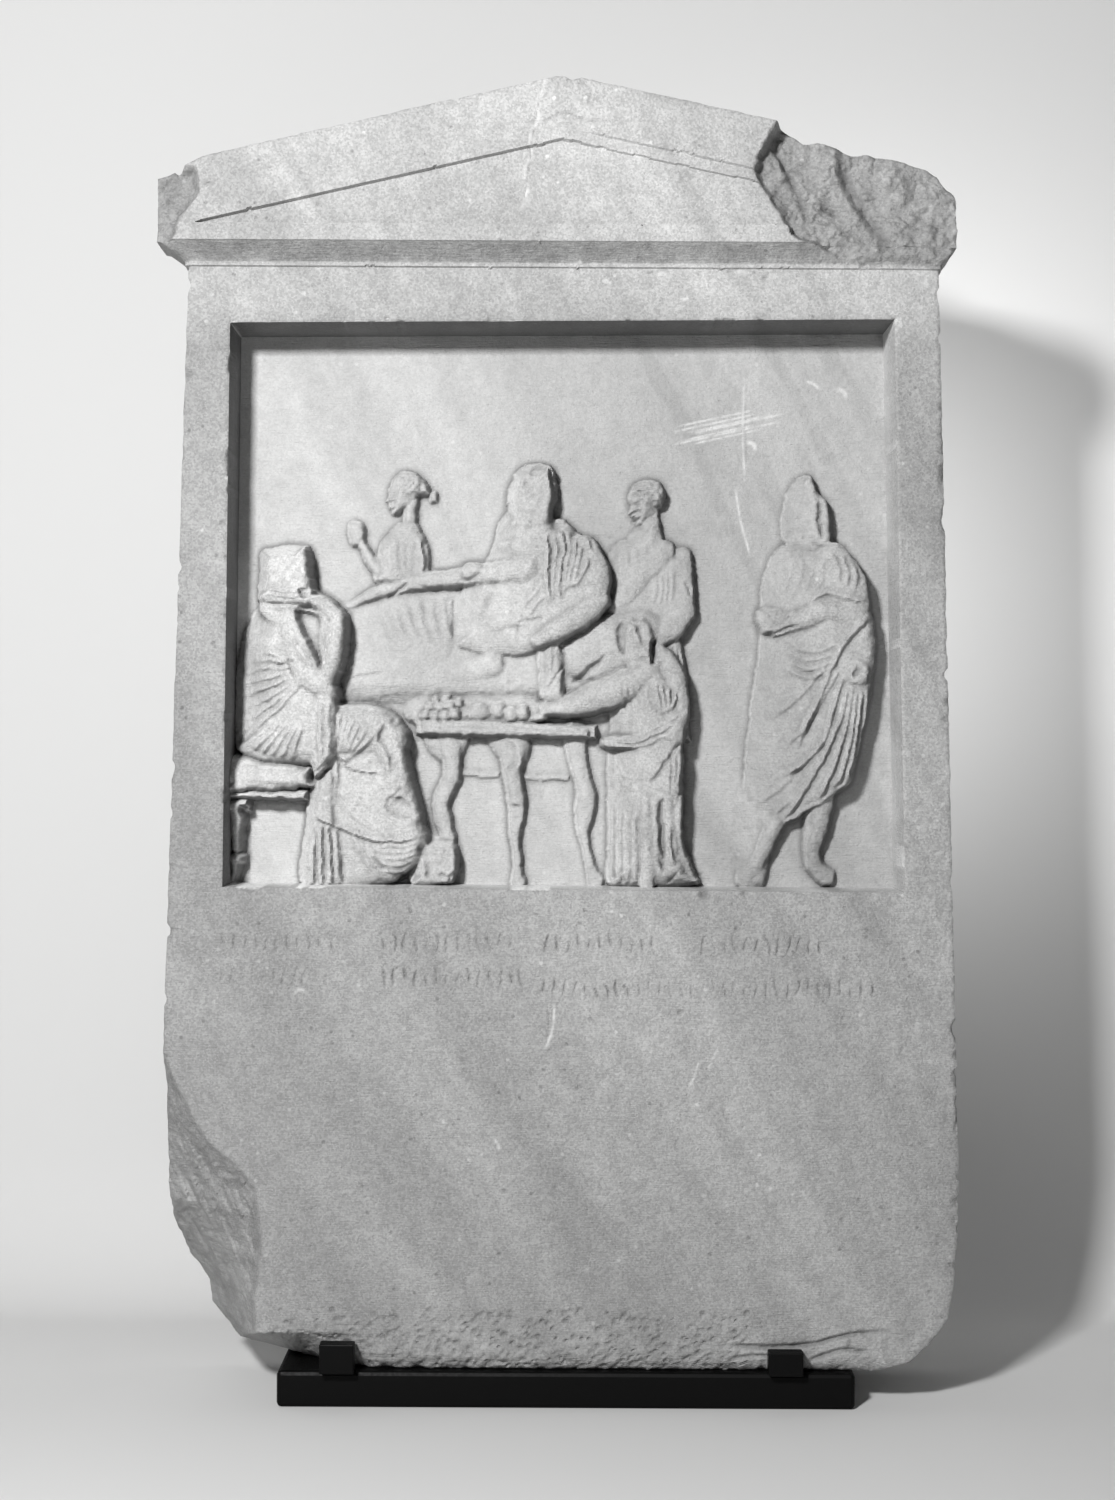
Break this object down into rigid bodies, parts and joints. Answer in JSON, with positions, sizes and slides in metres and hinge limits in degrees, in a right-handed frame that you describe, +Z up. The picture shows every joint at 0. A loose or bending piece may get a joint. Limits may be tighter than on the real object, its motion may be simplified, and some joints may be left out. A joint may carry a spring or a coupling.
{
  "type": "carved stone stele on display bar",
  "caption": "Upright gabled grave stele of pale marble: a recess with a banquet in high relief above a worn inscribed panel, standing on a black steel bar with lugs.",
  "frame": {"origin": "middle of the underside of the display bar, which rests on the ground", "axes": "+Z up along the stele, +Y to the back, so the carved front looks along -Y and +X is to the viewer's right"},
  "size_m": [0.7464, 0.189, 1.2281],
  "materials": {
    "marble": "weathered fine-grained marble, matt, neutral grey white with faint grey veins",
    "black_steel": "satin black paint on steel"
  },
  "bodies": {
    "root": {"stele": "marble", "mount_bar": "black_steel", "clip_left": "black_steel", "clip_right": "black_steel"}
  },
  "joints": []
}
